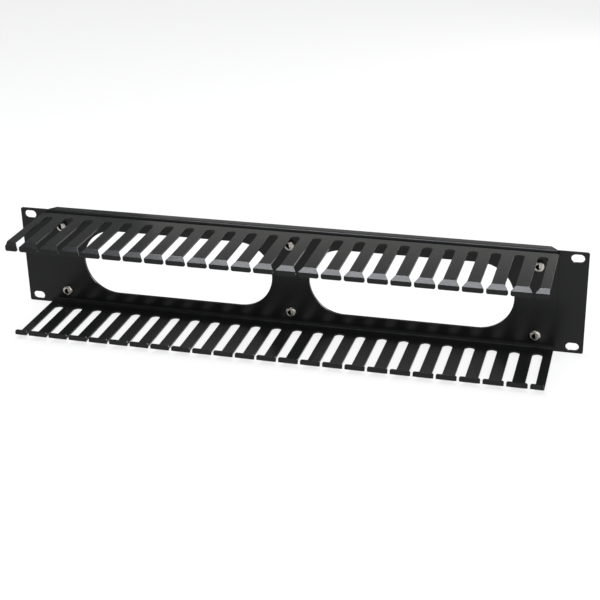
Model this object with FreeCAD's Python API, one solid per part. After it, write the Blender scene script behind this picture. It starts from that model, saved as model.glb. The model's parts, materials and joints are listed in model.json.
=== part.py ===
"""Horizontal cable manager, two rack units high, for a 19-inch rack.

A folded steel panel carries one folded steel finger duct on its front face. Six pan-head screws
pass through the duct's web and the panel into hexagon nuts behind it.

Millimetres. The origin is the centre of the rack-hole pattern, on the panel's rear mounting face:
+X to the right seen from the front, +Y to the rear, +Z up.
"""
import FreeCAD, Part
import math
import os

# --- rack standard -------------------------------------------------------------------------------
RACK_UNIT = 44.45            # height of one rack unit
RACK_UNITS = 2
PANEL_WIDTH = 482.6          # 19 inches over the ears
PANEL_PLAY = 1.9             # how much shorter the panel is than its rack units
RACK_HOLE_RISE = 6.35        # first rack hole above the bottom of its rack unit
RACK_HOLE_INSET = 8.75       # rack-slot centre from the end of the ear
RACK_SLOT_LENGTH = 10.5
RACK_SLOT_WIDTH = 6.8

# --- panel ---------------------------------------------------------------------------------------
PANEL_SHEET = 1.5
PANEL_BEND_RADIUS = 1.0      # inside of the bend
PANEL_CORNER_RADIUS = 1.5    # outer corners of the ears
FLANGE_DEPTH = 8.2           # front face to the flange's free edge
FLANGE_END_INSET = 1.75      # end of the flange's root inside the end of the duct
FLANGE_END_TAPER = 5.5       # how far the flange's free edge is cut back at each end

# --- finger duct ---------------------------------------------------------------------------------
EAR_WIDTH = 23.05            # bare ear beside the duct
DUCT_REVEAL = 1.2            # panel showing above and below the duct
DUCT_SHEET = 1.5
DUCT_DEPTH = 76.4            # back of the web to the front of the finger heads
WEB_BEND_RADIUS = 3.0        # inside of the bend
SHOULDER_DEPTH = 4.8         # sloping shoulder of a finger head, front to back
SHOULDER_DROP = 2.8          # the same shoulder, outside to inside
LIP_HEIGHT = 4.0             # upright lip of a finger head
LIP_CORNER_CUT = 1.0         # clipped free corners of a lip
SLOT_PITCH = 18.0
SLOT_WIDTH = 8.0
SLOT_SETBACK = 12.2          # back of the web to the round end of a slot
HEAD_GAP = 1.8               # between one finger head and the next

# --- pass-through openings in the web and the panel ----------------------------------------------
OPENING_HEIGHT = 58.0
OPENING_BRIDGE = 32.0        # web left between the two openings
OPENING_MARGIN = 33.25       # web left between an opening and the end of the duct
OPENING_STEP = 0.25          # the panel's opening is this much larger all round than the duct's

# --- screws and nuts -----------------------------------------------------------------------------
SCREW_INSET_X = 15.25        # outer screws from the ends of the duct
SCREW_INSET_Z = 12.3         # screws from the top and bottom of the duct
SCREW_DIAMETER = 5.0
SCREW_HOLE_PLAY = 0.25       # all round the screw in the web and the panel
SCREW_PROJECTION = 1.0       # screw end past the nut
SCREW_HEAD_DIAMETER = 9.4
SCREW_HEAD_HEIGHT = 3.0
RECESS_SPAN = 5.0            # cross recess, tip to tip at the surface
RECESS_WING = 1.3            # width of a wing of the cross
RECESS_FLOOR_SPAN = 2.0
RECESS_FLOOR_WING = 0.9
RECESS_DEPTH = 2.1
NUT_ACROSS_FLATS = 8.0
NUT_HEIGHT = 4.0
THREAD_PLAY = 0.05           # all round the screw in the nut

CUT_OVERRUN = 1.0            # how far a cutting tool runs past the sheet

# --- worked out from the sizes above -------------------------------------------------------------
rack_height = RACK_UNIT * RACK_UNITS
panel_top = (rack_height - PANEL_PLAY) / 2
panel_end = PANEL_WIDTH / 2
panel_front = -PANEL_SHEET
rack_hole_x = panel_end - RACK_HOLE_INSET
rack_hole_z = rack_height / 2 - RACK_HOLE_RISE

duct_top = panel_top - DUCT_REVEAL
duct_end = panel_end - EAR_WIDTH
duct_front = panel_front - DUCT_DEPTH
web_front = panel_front - DUCT_SHEET
shoulder_back = duct_front + SHOULDER_DEPTH
lip_top = duct_top - SHOULDER_DROP
lip_edge = lip_top - LIP_HEIGHT
slot_back = panel_front - SLOT_SETBACK
slot_count = math.floor(2 * duct_end / SLOT_PITCH)
slot_centres = [(i - (slot_count - 1) / 2) * SLOT_PITCH for i in range(slot_count)]

flange_end = duct_end - FLANGE_END_INSET
flange_back = panel_front + FLANGE_DEPTH

opening_length = duct_end - OPENING_MARGIN - OPENING_BRIDGE / 2
opening_x = (OPENING_BRIDGE + opening_length) / 2

screw_x = duct_end - SCREW_INSET_X
screw_z = duct_top - SCREW_INSET_Z
columns = {"left": -screw_x, "centre": 0.0, "right": screw_x}
rows = {"upper": screw_z, "lower": -screw_z}
fastener_places = [(x, z) for z in rows.values() for x in columns.values()]


def point(x, y, z):
    return FreeCAD.Vector(x, y, z)


def closed_face(edges):
    """Flat face inside a loop of edges given in any order."""
    return Part.Face(Part.Wire(Part.__sortEdges__(edges)))


def polygon_face(corners):
    """Flat face with straight sides."""
    return Part.Face(Part.makePolygon(corners + corners[:1]))


def upside_down(shape):
    """The same shape mirrored in the level plane through the origin."""
    return shape.mirror(point(0, 0, 0), point(0, 0, 1))


def level_pairs(shape, centres):
    """Copies of a shape at each place along X, with their mirror images below."""
    copies = [shape.translated(point(x, 0, 0)) for x in centres]
    return copies + [upside_down(copy) for copy in copies]


# --- folded sheet --------------------------------------------------------------------------------
def inward(direction):
    """Unit vector a quarter turn clockwise of a direction in the YZ plane, Y to the right and Z up."""
    return point(0, direction.z, -direction.y).normalize()


def fold_line(corners, bends, depth):
    """Edges of a line `depth` inside the outer corners of a folded sheet, which turn clockwise.

    Each bend is the radius of the outer face there, or 0 for a crisp fold.
    """
    edges = []
    last = corners[0] + inward(corners[1] - corners[0]) * depth
    for before, corner, after, bend in zip(corners, corners[1:], corners[2:], bends):
        arrive = (corner - before).normalize()
        leave = (after - corner).normalize()
        half_turn = arrive.getAngle(leave) / 2
        mitre = (inward(arrive) + inward(leave)).normalize()
        place = corner + mitre * (depth / math.cos(half_turn))
        if bend:
            radius = bend - depth
            start = place - arrive * (radius * math.tan(half_turn))
            end = place + leave * (radius * math.tan(half_turn))
            middle = start + (inward(arrive) - mitre) * radius
            edges += [Part.makeLine(last, start), Part.Arc(start, middle, end).toShape()]
            last = end
        else:
            edges.append(Part.makeLine(last, place))
            last = place
    edges.append(Part.makeLine(last, corners[-1] + inward(corners[-1] - corners[-2]) * depth))
    return edges


def folded_sheet(corners, bends, sheet, half_width):
    """Sheet folded along X round the given outer corners, centred on X = 0."""
    outer = fold_line(corners, bends, 0)
    inner = fold_line(corners, bends, sheet)
    ends = [Part.makeLine(corners[0], inner[0].firstVertex().Point),
            Part.makeLine(corners[-1], inner[-1].lastVertex().Point)]
    section = closed_face(outer + inner + ends)
    return section.translated(point(-half_width, 0, 0)).extrude(point(2 * half_width, 0, 0))


def edges_across_y(shape, x, z):
    """Edges that run along Y through the four places (+-x, +-z)."""
    def at_corner(edge):
        middle = edge.CenterOfMass
        along_y = abs(edge.tangentAt(edge.FirstParameter).y) > 0.999
        return along_y and abs(abs(middle.x) - x) < 0.01 and abs(abs(middle.z) - z) < 0.01
    return [edge for edge in shape.Edges if at_corner(edge)]


# --- cutting tools -------------------------------------------------------------------------------
def slot_tool(length, height, x, z, front, back):
    """Cutter for a round-ended slot lying along X, from the plane Y = front to Y = back."""
    radius = height / 2
    reach = length / 2 - radius
    top_left = point(x - reach, front, z + radius)
    top_right = point(x + reach, front, z + radius)
    low_left = point(x - reach, front, z - radius)
    low_right = point(x + reach, front, z - radius)
    right_tip = point(x + length / 2, front, z)
    left_tip = point(x - length / 2, front, z)
    outline = closed_face([Part.makeLine(top_left, top_right),
                           Part.Arc(top_right, right_tip, low_right).toShape(),
                           Part.makeLine(low_right, low_left),
                           Part.Arc(low_left, left_tip, top_left).toShape()])
    return outline.extrude(point(0, back - front, 0))


def screw_hole_tools(front, back):
    """Cutters for the six clearance holes of the screws."""
    radius = SCREW_DIAMETER / 2 + SCREW_HOLE_PLAY
    return [Part.makeCylinder(radius, back - front, point(x, front, z), point(0, 1, 0))
            for x, z in fastener_places]


def opening_tools(step, front, back):
    """Cutters for the two large openings, larger all round by `step`."""
    size = (opening_length + 2 * step, OPENING_HEIGHT + 2 * step)
    return [slot_tool(*size, x, 0, front - CUT_OVERRUN, back + CUT_OVERRUN)
            for x in (-opening_x, opening_x)]


def wall_slot_tool():
    """Round-ended slot between two fingers, cut down through the upper wall."""
    radius = SLOT_WIDTH / 2
    below = duct_top - DUCT_SHEET - CUT_OVERRUN
    turn = slot_back - radius
    outline = closed_face([Part.Arc(point(-radius, turn, below), point(0, slot_back, below),
                                    point(radius, turn, below)).toShape(),
                           Part.makeLine(point(radius, turn, below), point(radius, shoulder_back, below)),
                           Part.makeLine(point(radius, shoulder_back, below),
                                         point(-radius, shoulder_back, below)),
                           Part.makeLine(point(-radius, shoulder_back, below), point(-radius, turn, below))])
    return outline.extrude(point(0, 0, DUCT_SHEET + 2 * CUT_OVERRUN))


def shoulder_tool():
    """Space between two sloping shoulders, cut square to them: it narrows from the slot to the head gap."""
    top = point(0, shoulder_back, duct_top)
    foot = point(0, duct_front, lip_top)
    slope = (foot - top).normalize()
    into = point(0, -slope.z, slope.y)
    wide = point(SLOT_WIDTH / 2, 0, 0)
    narrow = point(HEAD_GAP / 2, 0, 0)
    top_end = top - slope * CUT_OVERRUN
    foot_end = foot + slope * CUT_OVERRUN
    outline = polygon_face([top_end - wide, top - wide, foot - narrow, foot_end - narrow,
                            foot_end + narrow, foot + narrow, top + wide, top_end + wide])
    # it goes in deep enough to come out through the back of the lip as well
    return outline.translated(into * -CUT_OVERRUN).extrude(into * 2 * (CUT_OVERRUN + DUCT_SHEET))


def lip_tool():
    """Gap between two upright lips, with both lips' free corners clipped."""
    half_gap = HEAD_GAP / 2
    mouth = half_gap + LIP_CORNER_CUT
    side = [(half_gap, lip_top), (half_gap, lip_edge + LIP_CORNER_CUT), (mouth, lip_edge),
            (mouth, lip_edge - CUT_OVERRUN)]
    outline = side + [(-x, z) for x, z in reversed(side)]
    front = duct_front - CUT_OVERRUN
    face = polygon_face([point(x, front, z) for x, z in outline])
    return face.extrude(point(0, 2 * DUCT_SHEET + CUT_OVERRUN, 0))


def flange_end_tool(side):
    """Cutter for the slanted end of both flanges, on side -1 or +1."""
    back = flange_back + CUT_OVERRUN
    beyond = side * (flange_end + CUT_OVERRUN)
    below = -panel_top - CUT_OVERRUN
    tip = side * (flange_end - FLANGE_END_TAPER)
    outline = polygon_face([point(side * flange_end, 0, below), point(tip, flange_back, below),
                            point(tip, back, below), point(beyond, back, below), point(beyond, 0, below)])
    return outline.extrude(point(0, 0, 2 * (panel_top + CUT_OVERRUN)))


# --- pieces --------------------------------------------------------------------------------------
def rack_panel():
    """Flat panel with an ear at each end, and a flange turned back along the top and the bottom."""
    corners = [point(0, flange_back, -panel_top), point(0, panel_front, -panel_top),
               point(0, panel_front, panel_top), point(0, flange_back, panel_top)]
    radius = PANEL_BEND_RADIUS + PANEL_SHEET
    middle = folded_sheet(corners, [radius, radius], PANEL_SHEET, flange_end)
    middle = middle.cut([flange_end_tool(-1), flange_end_tool(1)])
    ear_size = (panel_end - flange_end, PANEL_SHEET, 2 * panel_top)
    ears = [Part.makeBox(*ear_size, point(x, panel_front, -panel_top)) for x in (-panel_end, flange_end)]
    # the ears keep faces of their own, because only they lie on the rack's rails
    panel = middle.fuse(ears)
    panel = panel.makeFillet(PANEL_CORNER_RADIUS, edges_across_y(panel, panel_end, panel_top))
    span = (panel_front - CUT_OVERRUN, CUT_OVERRUN)
    rack_slots = [slot_tool(RACK_SLOT_LENGTH, RACK_SLOT_WIDTH, x, z, *span)
                  for x in (-rack_hole_x, rack_hole_x) for z in (-rack_hole_z, rack_hole_z)]
    return panel.cut(rack_slots + screw_hole_tools(*span) + opening_tools(OPENING_STEP, panel_front, 0))


def finger_duct():
    """Channel open to the front, its two walls slotted into fingers with T-shaped, turned-in heads."""
    upper = [point(0, duct_front, lip_edge), point(0, duct_front, lip_top),
             point(0, shoulder_back, duct_top), point(0, panel_front, duct_top)]
    corners = upper + [point(0, corner.y, -corner.z) for corner in reversed(upper)]
    web_bend = WEB_BEND_RADIUS + DUCT_SHEET
    channel = folded_sheet(corners, [0, 0, web_bend, web_bend, 0, 0], DUCT_SHEET, duct_end)
    channel = channel.makeChamfer(LIP_CORNER_CUT, edges_across_y(channel, duct_end, lip_edge))
    slots = [tool for shape in (wall_slot_tool(), shoulder_tool(), lip_tool())
             for tool in level_pairs(shape, slot_centres)]
    span = (web_front - CUT_OVERRUN, panel_front + CUT_OVERRUN)
    return channel.cut(slots + screw_hole_tools(*span)
                       + opening_tools(0, web_front, panel_front)).removeSplitter()


def recess_tool():
    """Cross recess of a screw head: two tapered wings crossing on the screw's axis."""
    # the tool starts in front of the crown and widens on at the same slope
    growth = 1 + CUT_OVERRUN / RECESS_DEPTH
    half_span = (RECESS_FLOOR_SPAN + (RECESS_SPAN - RECESS_FLOOR_SPAN) * growth) / 2
    half_wing = (RECESS_FLOOR_WING + (RECESS_WING - RECESS_FLOOR_WING) * growth) / 2
    front = -SCREW_HEAD_HEIGHT - CUT_OVERRUN
    floor = -SCREW_HEAD_HEIGHT + RECESS_DEPTH
    wing = Part.makeWedge(-half_span, front, -half_wing, -RECESS_FLOOR_WING / 2, -RECESS_FLOOR_SPAN / 2,
                          half_span, floor, half_wing, RECESS_FLOOR_WING / 2, RECESS_FLOOR_SPAN / 2)
    return wing.fuse(wing.rotated(point(0, 0, 0), point(0, 1, 0), 90))


def pan_head_screw():
    """Screw with a cross recess in its round head, the head's seat at Y = 0 and the end to the rear."""
    rearward = point(0, 1, 0)
    length = DUCT_SHEET + PANEL_SHEET + NUT_HEIGHT + SCREW_PROJECTION
    shank = Part.makeCylinder(SCREW_DIAMETER / 2, length, point(0, 0, 0), rearward)
    head_place = point(0, -SCREW_HEAD_HEIGHT, 0)
    head = Part.makeCylinder(SCREW_HEAD_DIAMETER / 2, SCREW_HEAD_HEIGHT, head_place, rearward)
    return head.fuse(shank).cut(recess_tool())


def hexagon_nut():
    """Hexagon nut with two flats upright, its seat at Y = 0."""
    corner_radius = NUT_ACROSS_FLATS / math.sqrt(3)
    corners = [point(corner_radius * math.sin(angle), 0, corner_radius * math.cos(angle))
               for angle in (i * math.pi / 3 for i in range(6))]
    bore = Part.makeCylinder(SCREW_DIAMETER / 2 + THREAD_PLAY, NUT_HEIGHT, point(0, 0, 0), point(0, 1, 0))
    return polygon_face(corners).extrude(point(0, NUT_HEIGHT, 0)).cut(bore)


def all_pieces():
    """Every piece of the manager by name."""
    pieces = {"rack_panel": rack_panel(), "finger_duct": finger_duct()}
    screw = pan_head_screw()
    nut = hexagon_nut()
    for row, z in rows.items():
        for column, x in columns.items():
            pieces[f"screw_{row}_{column}"] = screw.translated(point(x, web_front, z))
            pieces[f"nut_{row}_{column}"] = nut.translated(point(x, 0, z))
    return pieces


def main():
    os.makedirs("parts", exist_ok=True)
    for node, shape in all_pieces().items():
        shape.exportStep(f"parts/{node}.step")


main()
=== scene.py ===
"""Dresses the horizontal cable manager: its powder coat, its zinc-plated screws and nuts, and a studio."""
import json
import math

import bpy
from mathutils import Matrix, Vector

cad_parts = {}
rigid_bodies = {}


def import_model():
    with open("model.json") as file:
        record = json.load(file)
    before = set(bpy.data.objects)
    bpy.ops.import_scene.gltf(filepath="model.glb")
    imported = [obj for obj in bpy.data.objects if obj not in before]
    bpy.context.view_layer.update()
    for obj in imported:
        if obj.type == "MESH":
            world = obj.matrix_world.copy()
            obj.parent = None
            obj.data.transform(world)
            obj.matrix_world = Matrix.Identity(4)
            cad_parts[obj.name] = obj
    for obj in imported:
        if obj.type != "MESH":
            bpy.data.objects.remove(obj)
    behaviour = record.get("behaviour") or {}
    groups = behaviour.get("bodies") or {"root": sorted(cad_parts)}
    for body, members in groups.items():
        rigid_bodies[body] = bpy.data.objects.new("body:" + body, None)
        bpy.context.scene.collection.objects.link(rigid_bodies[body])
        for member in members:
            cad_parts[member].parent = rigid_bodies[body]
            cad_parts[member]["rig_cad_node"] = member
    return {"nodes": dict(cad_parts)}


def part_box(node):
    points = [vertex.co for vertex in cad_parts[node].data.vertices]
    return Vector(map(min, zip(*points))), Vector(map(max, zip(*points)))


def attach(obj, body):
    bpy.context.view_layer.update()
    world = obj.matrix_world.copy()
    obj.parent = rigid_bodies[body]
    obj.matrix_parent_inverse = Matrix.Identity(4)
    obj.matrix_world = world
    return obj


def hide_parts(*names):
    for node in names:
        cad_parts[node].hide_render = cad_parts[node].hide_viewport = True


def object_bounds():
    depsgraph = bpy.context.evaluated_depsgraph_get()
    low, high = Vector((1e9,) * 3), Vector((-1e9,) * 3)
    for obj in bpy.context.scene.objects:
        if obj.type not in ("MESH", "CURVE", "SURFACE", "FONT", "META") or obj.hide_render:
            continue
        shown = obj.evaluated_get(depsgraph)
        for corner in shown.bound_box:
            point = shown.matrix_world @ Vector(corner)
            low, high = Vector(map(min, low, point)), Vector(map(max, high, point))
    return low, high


bl_info = {
    "name": "Horizontal Cable Manager",
    "version": (1, 0, 0),
    "blender": (4, 5, 0),
    "location": "View3D > Sidebar > Cable Manager",
    "description": "Dresses the packed cable manager with its finishes, fasteners and studio",
    "category": "Object",
}

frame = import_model()
cad_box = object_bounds()

MM = 0.001
ROWS = ("upper", "lower")
COLUMNS = ("left", "centre", "right")
FASTENER_PLACES = [f"{row}_{column}" for row in ROWS for column in COLUMNS]
FIRST_PLACE = FASTENER_PLACES[0]

# --- powder coat ---------------------------------------------------------------------------------
BLOOM_SIZE = 35 * MM        # from one thicker patch of the coat to the next
BLOOM_GLOSS = 0.03          # how much rougher or smoother those patches are
PEEL_DEPTH = 0.05 * MM
PEEL_STRENGTH = 0.3
COAT_SHARP_ANGLE = 25       # degrees; a head's folds of 30 and 60 get their rounding too

# --- zinc plate ----------------------------------------------------------------------------------
CLOUD_SIZE = 2.5 * MM       # from one duller patch of the plate to the next
BRIGHT_ROUGHNESS = 0.24
DULL_ROUGHNESS = 0.4
GRAIN_SIZE = 0.35 * MM
GRAIN_DEPTH = 0.02 * MM
GRAIN_STRENGTH = 0.15
SCREW_SHARP_ANGLE = 40      # degrees; the dome's own steps stay below it
NUT_SMOOTH_ANGLE = 20       # degrees; the turned corners stay crisp

# --- screws and nuts -----------------------------------------------------------------------------
THREAD_PITCH = 0.8 * MM     # M5
THREAD_RADIUS = 2.5 * MM
THREAD_DEPTH = 0.3 * MM
DOME_STEPS = 8
BORE_MOST = 3.0 * MM        # more than the nut's bore radius, less than its hexagon's
COUNTERSINK = 0.35 * MM
NUT_FACE_RADIUS = 3.85 * MM
NUT_CORNER_ANGLE = 30       # degrees at which the corners are turned down
BLANK_SIDES = 72

# --- shaping -------------------------------------------------------------------------------------
NEAR = 0.02 * MM            # ends of an edge this near to a face or a rim lie on it
WELD_DISTANCE = 0.001 * MM
SAME_FACE_ANGLE = 0.5       # degrees between triangles of one flat face
ROUNDING_STEPS = 3
SMOOTH_ANGLE = 35           # degrees

# --- studio --------------------------------------------------------------------------------------
STUDIO_RADIUS = 8.0
WALL_HEIGHT = 1.9           # a low round wall, so that the lamps' light stays the main one on the coat
WALL_SIDES = 96
FLOOR_GLOW = 0.8
WORLD_STRENGTH = 0.12
SENSOR_WIDTH = 36           # millimetres

# name, place, target, (width, height), watts and colour; the long narrow softbox overhead lights the
# heads' shoulders, the low one behind gives the fingers' tops their sheen, and the others fill in
SOFTBOXES = (
    ("overhead", (-0.13, 0.05, 1.3), (-0.13, 0.05, 0), (0.88, 0.17), 16, "#F8FAFF"),
    ("overhead front", (0.0, -0.36, 1.2), (0, -0.1, 0), (0.9, 0.4), 5, "#F8FAFF"),
    ("front", (0.9, -1.1, 0.8), (0, 0, 0), (0.5, 0.4), 7, "#FFFFFF"),
    ("right", (1.3, -0.3, 0.5), (0, 0, 0), (0.6, 0.6), 3, "#FFFFFF"),
    ("right rear", (0.42, 1.0, 0.38), (0, 0, 0), (0.35, 0.35), 3, "#FFFFFF"),
    ("behind", (0.13, 0.2, 0.12), (0.13, -0.03, 0.04), (0.68, 0.03), 0.06, "#FFFBF5"),
)


# --- sizes and colours that a user would change --------------------------------------------------
class CoatSettings(bpy.types.PropertyGroup):
    """Powder coat of the two folded sheets."""
    colour: bpy.props.StringProperty(
        name="Coat colour", default="#1c1d1e", description="Black of the powder coat, as sRGB hex")
    dust_colour: bpy.props.StringProperty(
        name="Coat bloom", default="#20201f", description="Slightly greyer black where the coat lies thicker")
    roughness: bpy.props.FloatProperty(
        name="Roughness", default=0.26, min=0, max=1, subtype="FACTOR",
        description="Roughness of the satin coat")
    edge_round: bpy.props.FloatProperty(
        name="Edge rounding", default=0.28 * MM, unit="LENGTH", precision=5,
        description="Radius that the coat gives the sheared edges")
    peel_size: bpy.props.FloatProperty(
        name="Orange peel", default=0.9 * MM, unit="LENGTH", precision=5,
        description="Distance from one ripple of the coat to the next")


class ScrewSettings(bpy.types.PropertyGroup):
    """Zinc-plated screws and nuts."""
    colour: bpy.props.StringProperty(
        name="Zinc colour", default="#C9C6BE", description="Colour of the bright zinc plate, as sRGB hex")
    dull_colour: bpy.props.StringProperty(
        name="Dull zinc colour", default="#A9A59A", description="Colour of the plate's duller patches")
    dome: bpy.props.FloatProperty(
        name="Head dome", default=2.0 * MM, unit="LENGTH", precision=5,
        description="How far the pan head's rounding reaches in from its rim")
    edge_round: bpy.props.FloatProperty(
        name="Edge rounding", default=0.12 * MM, unit="LENGTH", precision=5,
        description="Radius of the screws' edges")


class StageSettings(bpy.types.PropertyGroup):
    """Camera and floor."""
    camera_place: bpy.props.FloatVectorProperty(
        name="Camera place", subtype="XYZ", size=3, unit="LENGTH", default=(0.28712, -0.98140, 0.44028),
        description="Centre of the camera's lens")
    camera_turn: bpy.props.FloatVectorProperty(
        name="Camera turn", subtype="EULER", size=3, default=(0.278095, 0.423792, -0.0229386),
        description="Round the object, above it, and about the view line")
    lens: bpy.props.FloatProperty(
        name="Lens", default=80.26, min=1, description="Focal length in millimetres")
    floor_colour: bpy.props.StringProperty(
        name="Floor colour", default="#A0A0A0", description="Paint of the floor, as it lights the object")
    seen_colour: bpy.props.StringProperty(
        name="Seen floor colour", default="#7C7C7C", description="Paint of the floor under its white glow")


# --- colours and nodes ---------------------------------------------------------------------------
def linear(hex_colour, alpha=1.0):
    """Linear RGBA of an sRGB hex colour."""
    channels = [int(hex_colour[i:i + 2], 16) / 255 for i in (1, 3, 5)]
    return [c / 12.92 if c <= 0.04045 else ((c + 0.055) / 1.055) ** 2.4 for c in channels] + [alpha]


def add_node(tree, kind, settings=None, **inputs):
    """Adds a node with its settings; an input is a value, or an output socket to link from.

    An input is named as its socket is, with _ for a space, or i and its number.
    """
    node = tree.nodes.new(kind)
    for name, value in (settings or {}).items():
        setattr(node, name, value)
    for name, value in inputs.items():
        numbered = name[0] == "i" and name[1:].isdigit()
        socket = node.inputs[int(name[1:]) if numbered else name.replace("_", " ")]
        if isinstance(value, bpy.types.NodeSocket):
            tree.links.new(value, socket)
        else:
            socket.default_value = value
    return node


def new_material(name):
    """Empty node material and its node tree."""
    material = bpy.data.materials.new(name)
    material.use_nodes = True
    material.node_tree.nodes.clear()
    return material, material.node_tree


def finish_material(tree, shader):
    """Links the last shader to the material's output."""
    tree.links.new(shader, tree.nodes.new("ShaderNodeOutputMaterial").inputs["Surface"])


def powder_coat():
    """Polyester powder coat, sprayed on steel sheet and baked to a satin black."""
    coat = bpy.context.scene.coat
    material, tree = new_material("satin_powder_coat")
    place = add_node(tree, "ShaderNodeTexCoord").outputs["Object"]
    # the powder lies thicker in wide patches, a shade greyer and duller
    bloom = add_node(tree, "ShaderNodeTexNoise", Vector=place, Scale=1 / BLOOM_SIZE, Detail=3.0,
                     Roughness=0.55)
    colour = add_node(tree, "ShaderNodeMix", {"data_type": "RGBA"}, i0=bloom.outputs["Fac"],
                      i6=linear(coat.colour), i7=linear(coat.dust_colour))
    gloss = add_node(tree, "ShaderNodeMapRange", Value=bloom.outputs["Fac"],
                     To_Min=coat.roughness - BLOOM_GLOSS, To_Max=coat.roughness + BLOOM_GLOSS)
    # the melted powder sets in small ripples, an orange peel that breaks up the soft broad gloss
    peel = add_node(tree, "ShaderNodeTexNoise", Vector=place, Scale=1 / coat.peel_size, Detail=2.0,
                    Roughness=0.5)
    bump = add_node(tree, "ShaderNodeBump", Height=peel.outputs["Fac"], Strength=PEEL_STRENGTH,
                    Distance=PEEL_DEPTH)
    shader = add_node(tree, "ShaderNodeBsdfPrincipled", Base_Color=colour.outputs[2],
                      Roughness=gloss.outputs["Result"], IOR=1.5, Specular_IOR_Level=0.2,
                      Normal=bump.outputs["Normal"])
    finish_material(tree, shader.outputs["BSDF"])
    return material


def bright_zinc():
    """Bright zinc plate on cold-formed steel, made once and shared by the screws and the nuts."""
    name = "bright_zinc_plate"
    if name in bpy.data.materials:
        return bpy.data.materials[name]
    screw = bpy.context.scene.screw
    material, tree = new_material(name)
    place = add_node(tree, "ShaderNodeTexCoord").outputs["Object"]
    # the plate is almost a mirror in some patches, and duller and warmer in others
    cloud = add_node(tree, "ShaderNodeTexNoise", Vector=place, Scale=1 / CLOUD_SIZE, Detail=3.0,
                     Roughness=0.6)
    gloss = add_node(tree, "ShaderNodeMapRange", Value=cloud.outputs["Fac"], To_Min=BRIGHT_ROUGHNESS,
                     To_Max=DULL_ROUGHNESS)
    colour = add_node(tree, "ShaderNodeMix", {"data_type": "RGBA"}, i0=cloud.outputs["Fac"],
                      i6=linear(screw.colour), i7=linear(screw.dull_colour))
    # the steel's fine grain from the forming shows through
    grain = add_node(tree, "ShaderNodeTexNoise", Vector=place, Scale=1 / GRAIN_SIZE, Detail=2.0,
                     Roughness=0.5)
    bump = add_node(tree, "ShaderNodeBump", Height=grain.outputs["Fac"], Strength=GRAIN_STRENGTH,
                    Distance=GRAIN_DEPTH)
    shader = add_node(tree, "ShaderNodeBsdfPrincipled", Base_Color=colour.outputs[2], Metallic=1.0,
                      Roughness=gloss.outputs["Result"], Normal=bump.outputs["Normal"])
    finish_material(tree, shader.outputs["BSDF"])
    return material


def floor_material():
    """Matt painted floor: white to the eye and in reflections, with the object's soft shadow."""
    stage = bpy.context.scene.stage
    material, tree = new_material("pale_floor")
    rays = add_node(tree, "ShaderNodeLightPath")
    straight = add_node(tree, "ShaderNodeMath", {"operation": "MAXIMUM"}, i0=rays.outputs["Is Camera Ray"],
                        i1=rays.outputs["Is Glossy Ray"])
    white_rays = add_node(tree, "ShaderNodeMath", {"operation": "MAXIMUM"}, i0=straight.outputs[0],
                          i1=rays.outputs["Is Transmission Ray"])
    paint = add_node(tree, "ShaderNodeBsdfDiffuse", Color=linear(stage.floor_colour))
    shaded = add_node(tree, "ShaderNodeBsdfDiffuse", Color=linear(stage.seen_colour))
    glow = add_node(tree, "ShaderNodeEmission", Color=linear("#FFFFFF"), Strength=FLOOR_GLOW)
    both = add_node(tree, "ShaderNodeAddShader", i0=shaded.outputs[0], i1=glow.outputs[0])
    seen = add_node(tree, "ShaderNodeMixShader", i0=white_rays.outputs[0], i1=paint.outputs[0],
                    i2=both.outputs[0])
    finish_material(tree, seen.outputs[0])
    return material


# --- shaping helpers -----------------------------------------------------------------------------
def select_only(piece):
    """Selects one piece, makes it the active one and deselects all the others."""
    bpy.ops.object.select_all(action="DESELECT")
    piece.select_set(True)
    bpy.context.view_layer.objects.active = piece


def deselect_mesh(mesh):
    """Deselects every point, edge and face of a mesh."""
    for parts in (mesh.vertices, mesh.edges, mesh.polygons):
        parts.foreach_set("select", [False] * len(parts))


def apply_modifier(piece, label, kind, **settings):
    """Adds a modifier with its settings to the active piece and applies it."""
    modifier = piece.modifiers.new(label, kind)
    for name, value in settings.items():
        setattr(modifier, name, value)
    bpy.ops.object.modifier_apply(modifier=modifier.name)


def welded_copy(node, name):
    """Copy of a CAD node with its loose triangles merged into whole flat faces."""
    piece = frame["nodes"][node].copy()
    piece.data = piece.data.copy()
    piece.name = piece.data.name = name
    piece.parent = None
    del piece["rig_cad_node"]    # the copy isn't the CAD node itself
    bpy.context.scene.collection.objects.link(piece)
    select_only(piece)
    bpy.ops.object.mode_set(mode="EDIT")
    bpy.ops.mesh.select_all(action="SELECT")
    bpy.ops.mesh.remove_doubles(threshold=WELD_DISTANCE)
    bpy.ops.mesh.dissolve_limited(angle_limit=math.radians(SAME_FACE_ANGLE))
    bpy.ops.object.mode_set(mode="OBJECT")
    return piece


def bevel_edges(piece, chosen, offset, segments):
    """Bevels the edges that `chosen` picks by the places of their two ends."""
    select_only(piece)
    mesh = piece.data
    deselect_mesh(mesh)
    for edge in mesh.edges:
        edge.select = chosen(*(mesh.vertices[i].co for i in edge.vertices))
    if not any(edge.select for edge in mesh.edges):
        raise RuntimeError(f"no edge of {piece.name} was chosen")
    bpy.context.tool_settings.mesh_select_mode = (False, True, False)
    bpy.ops.object.mode_set(mode="EDIT")
    bpy.ops.mesh.bevel(offset=offset, segments=segments, affect="EDGES")
    bpy.ops.object.mode_set(mode="OBJECT")


def round_edges(piece, radius, sharp_angle):
    """Rounds the edges where faces meet at more than the sharp angle, and shades the rest smooth."""
    select_only(piece)
    apply_modifier(piece, "rounded edges", "BEVEL", width=radius, segments=ROUNDING_STEPS,
                   limit_method="ANGLE", angle_limit=math.radians(sharp_angle), use_clamp_overlap=True)
    bpy.ops.object.shade_smooth_by_angle(angle=math.radians(SMOOTH_ANGLE))
    # keeps the wide flat faces flat to the light right up to their rounded edges
    apply_modifier(piece, "flat faces", "WEIGHTED_NORMAL", keep_sharp=True)


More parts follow.
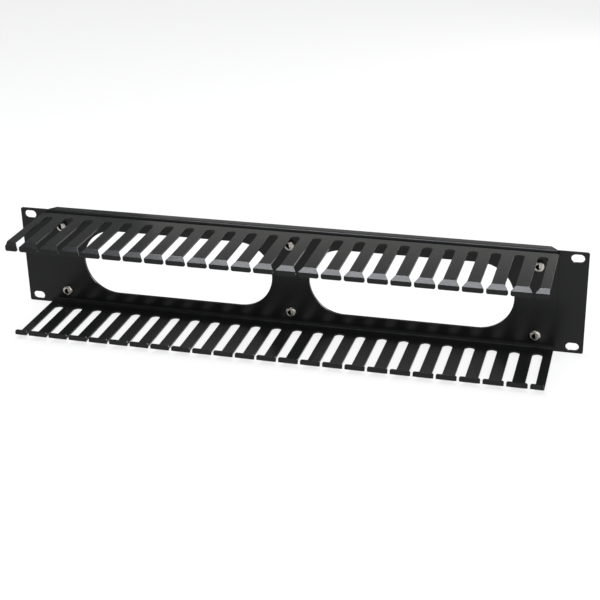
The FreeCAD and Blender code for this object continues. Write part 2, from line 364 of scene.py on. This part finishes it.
def cut_thread(screw, axis, start, end):
    """Cuts the thread's groove round the end that stands out of the nut."""
    groove = (start + end) / 2
    half = THREAD_DEPTH * 0.7
    select_only(screw)
    bpy.ops.object.mode_set(mode="EDIT")
    for y in (groove - half, groove, groove + half):
        bpy.ops.mesh.select_all(action="SELECT")
        bpy.ops.mesh.bisect(plane_co=(axis.x, y, axis.z), plane_no=(0, 1, 0))
    bpy.ops.object.mode_set(mode="OBJECT")
    deselect_mesh(screw.data)
    for vertex in screw.data.vertices:
        vertex.select = abs(vertex.co.y - groove) < half / 2
    bpy.context.tool_settings.mesh_select_mode = (True, False, False)
    bpy.ops.object.mode_set(mode="EDIT")
    shrink = 1 - THREAD_DEPTH / THREAD_RADIUS
    bpy.ops.transform.resize(value=(shrink, 1, shrink), center_override=(axis.x, groove, axis.z))
    bpy.ops.object.mode_set(mode="OBJECT")


def turned_blank(centre, radius, length, face_radius):
    """Round blank along the depth, its two faces turned down to a smaller radius."""
    rise = (radius - face_radius) * math.tan(math.radians(NUT_CORNER_ANGLE))
    shrink = face_radius / radius
    bpy.ops.object.select_all(action="DESELECT")
    bpy.ops.mesh.primitive_cylinder_add(vertices=BLANK_SIDES, radius=radius, depth=length - 2 * rise,
                                        location=centre, rotation=(math.pi / 2, 0, 0))
    blank = bpy.context.active_object
    bpy.ops.object.transform_apply(location=True, rotation=True, scale=True)
    bpy.context.tool_settings.mesh_select_mode = (False, False, True)
    for side in (-1, 1):
        deselect_mesh(blank.data)
        for face in blank.data.polygons:
            face.select = face.normal.y * side > 0.9
        bpy.ops.object.mode_set(mode="EDIT")
        bpy.ops.mesh.extrude_region_move(TRANSFORM_OT_translate={"value": (0, side * rise, 0)})
        bpy.ops.transform.resize(value=(shrink, 1, shrink), center_override=tuple(centre))
        bpy.ops.object.mode_set(mode="OBJECT")
    return blank


# --- placing -------------------------------------------------------------------------------------
def finish_piece(piece, material, node):
    """Gives a piece its finish and puts it in its CAD node's place."""
    piece.data.materials.clear()
    piece.data.materials.append(material)
    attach(piece, "root")
    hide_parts(node)


def place_copies(model, kind):
    """Sets a plated copy of the finished model in the place of every CAD node of its kind."""
    zinc = bright_zinc()
    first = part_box(f"{kind}_{FIRST_PLACE}")[0]
    for place in FASTENER_PLACES:
        node = f"{kind}_{place}"
        piece = model.copy()
        piece.data = model.data.copy()
        piece.name = piece.data.name = f"plated_{node}"
        bpy.context.scene.collection.objects.link(piece)
        piece.data.transform(Matrix.Translation(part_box(node)[0] - first))
        finish_piece(piece, zinc, node)
    bpy.data.objects.remove(model)


# --- studio helpers ------------------------------------------------------------------------------
def camera_matrix(place, turn):
    """Camera placed at `place`, turned round the object, raised above it and rolled."""
    azimuth, elevation, roll = turn
    right = Vector((math.cos(azimuth), math.sin(azimuth), 0))
    back = Vector((math.sin(azimuth) * math.cos(elevation), -math.cos(azimuth) * math.cos(elevation),
                   math.sin(elevation)))
    up = back.cross(right)
    rolled_right = math.cos(roll) * right + math.sin(roll) * up
    rolled_up = -math.sin(roll) * right + math.cos(roll) * up
    turned = Matrix((rolled_right, rolled_up, back)).transposed()
    return Matrix.Translation(place) @ turned.to_4x4()


def area_light(name, place, target, size, power, colour):
    """Softbox at a place, facing a target; its size is (width, height) in metres."""
    data = bpy.data.lights.new(name, "AREA")
    data.shape = "RECTANGLE"
    data.size, data.size_y = size
    data.energy = power
    data.color = linear(colour)[:3]
    light = bpy.data.objects.new(name, data)
    light.location = place
    light.rotation_euler = (Vector(target) - Vector(place)).to_track_quat("-Z", "Y").to_euler()
    light.visible_camera = False
    bpy.context.scene.collection.objects.link(light)


# --- operators -----------------------------------------------------------------------------------
class MANAGER_OT_sheets(bpy.types.Operator):
    """Coat the folded panel and the finger duct, with rounded edges"""
    bl_idname = "manager.sheets"
    bl_label = "Panel and finger duct"

    def execute(self, context):
        coat = powder_coat()
        for node, name in (("rack_panel", "coated_panel"), ("finger_duct", "coated_duct")):
            piece = welded_copy(node, name)
            round_edges(piece, context.scene.coat.edge_round, COAT_SHARP_ANGLE)
            finish_piece(piece, coat, node)
        return {"FINISHED"}


class MANAGER_OT_screws(bpy.types.Operator):
    """Model the pan-head screws with their cross recess and threaded end"""
    bl_idname = "manager.screws"
    bl_label = "Screws"

    def execute(self, context):
        node = f"screw_{FIRST_PLACE}"
        lowest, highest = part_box(node)
        axis = (lowest + highest) / 2
        head_radius = (highest.x - lowest.x) / 2
        screw = welded_copy(node, "pan_head_screw")

        def from_axis(a):
            return math.hypot(a.x - axis.x, a.z - axis.z)

        def head_rim(a, b):
            return max(a.y, b.y) < lowest.y + NEAR and min(from_axis(a), from_axis(b)) > head_radius - NEAR

        def end_rim(a, b):
            return min(a.y, b.y) > highest.y - NEAR

        bevel_edges(screw, head_rim, context.scene.screw.dome, DOME_STEPS)
        bevel_edges(screw, end_rim, THREAD_DEPTH, 1)
        cut_thread(screw, axis, highest.y - THREAD_DEPTH - THREAD_PITCH, highest.y - THREAD_DEPTH)
        round_edges(screw, context.scene.screw.edge_round, SCREW_SHARP_ANGLE)
        place_copies(screw, "screw")
        return {"FINISHED"}


class MANAGER_OT_nuts(bpy.types.Operator):
    """Model the hexagon nuts with their corners turned down and their bore countersunk"""
    bl_idname = "manager.nuts"
    bl_label = "Nuts"

    def execute(self, context):
        node = f"nut_{FIRST_PLACE}"
        lowest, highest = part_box(node)
        centre = (lowest + highest) / 2
        corner_radius = (highest.z - lowest.z) / 2
        nut = welded_copy(node, "hexagon_nut")

        def from_axis(a):
            return math.hypot(a.x - centre.x, a.z - centre.z)

        def bore_rim(a, b):
            return abs(a.y - b.y) < NEAR and max(from_axis(a), from_axis(b)) < BORE_MOST

        bevel_edges(nut, bore_rim, COUNTERSINK, 1)
        blank = turned_blank(centre, corner_radius + NEAR, highest.y - lowest.y, NUT_FACE_RADIUS)
        select_only(nut)
        apply_modifier(nut, "turned corners", "BOOLEAN", operation="INTERSECT", object=blank)
        bpy.data.objects.remove(blank)
        bpy.ops.object.shade_smooth_by_angle(angle=math.radians(NUT_SMOOTH_ANGLE))
        place_copies(nut, "nut")
        return {"FINISHED"}


class MANAGER_OT_stage(bpy.types.Operator):
    """Set the camera, the floor and the lights"""
    bl_idname = "manager.stage"
    bl_label = "Studio"

    def execute(self, context):
        scene = context.scene
        stage = scene.stage
        lowest = cad_box[0].z
        paint = floor_material()
        bpy.ops.mesh.primitive_plane_add(size=2 * STUDIO_RADIUS, location=(0, 0, lowest))
        floor = context.active_object
        floor.name = "floor"
        bpy.ops.mesh.primitive_cylinder_add(vertices=WALL_SIDES, radius=STUDIO_RADIUS, depth=WALL_HEIGHT,
                                            end_fill_type="NOTHING",
                                            location=(0, 0, lowest + WALL_HEIGHT / 2))
        wall = context.active_object
        wall.name = "backdrop"
        for piece in (floor, wall):
            piece.data.materials.append(paint)

        for softbox in SOFTBOXES:
            area_light(*softbox)

        world = bpy.data.worlds.new("studio")
        world.use_nodes = True
        background = world.node_tree.nodes["Background"]
        background.inputs["Color"].default_value = linear("#FFFFFF")
        background.inputs["Strength"].default_value = WORLD_STRENGTH
        scene.world = world

        data = bpy.data.cameras.new("camera")
        data.lens = stage.lens
        data.sensor_width = SENSOR_WIDTH
        camera = bpy.data.objects.new("camera", data)
        camera.matrix_world = camera_matrix(Vector(stage.camera_place), stage.camera_turn)
        scene.collection.objects.link(camera)
        scene.camera = camera
        scene.view_settings.view_transform = "Standard"
        return {"FINISHED"}


class MANAGER_PT_panel(bpy.types.Panel):
    """Lists the pieces of the cable manager and their settings"""
    bl_label = "Cable Manager"
    bl_idname = "MANAGER_PT_panel"
    bl_space_type = "VIEW_3D"
    bl_region_type = "UI"
    bl_category = "Cable Manager"

    def draw(self, context):
        for operator in OPERATORS:
            self.layout.operator(operator.bl_idname)
        for group in (context.scene.coat, context.scene.screw, context.scene.stage):
            for name in group.__annotations__:
                self.layout.prop(group, name)


OPERATORS = (MANAGER_OT_sheets, MANAGER_OT_screws, MANAGER_OT_nuts, MANAGER_OT_stage)
CLASSES = (CoatSettings, ScrewSettings, StageSettings) + OPERATORS + (MANAGER_PT_panel,)


def register():
    for cls in CLASSES:
        bpy.utils.register_class(cls)
    bpy.types.Scene.coat = bpy.props.PointerProperty(type=CoatSettings)
    bpy.types.Scene.screw = bpy.props.PointerProperty(type=ScrewSettings)
    bpy.types.Scene.stage = bpy.props.PointerProperty(type=StageSettings)


def unregister():
    del bpy.types.Scene.coat
    del bpy.types.Scene.screw
    del bpy.types.Scene.stage
    for cls in reversed(CLASSES):
        bpy.utils.unregister_class(cls)


def main():
    register()
    bpy.ops.manager.sheets()
    bpy.ops.manager.screws()
    bpy.ops.manager.nuts()
    bpy.ops.manager.stage()


if __name__ == "__main__":
    main()
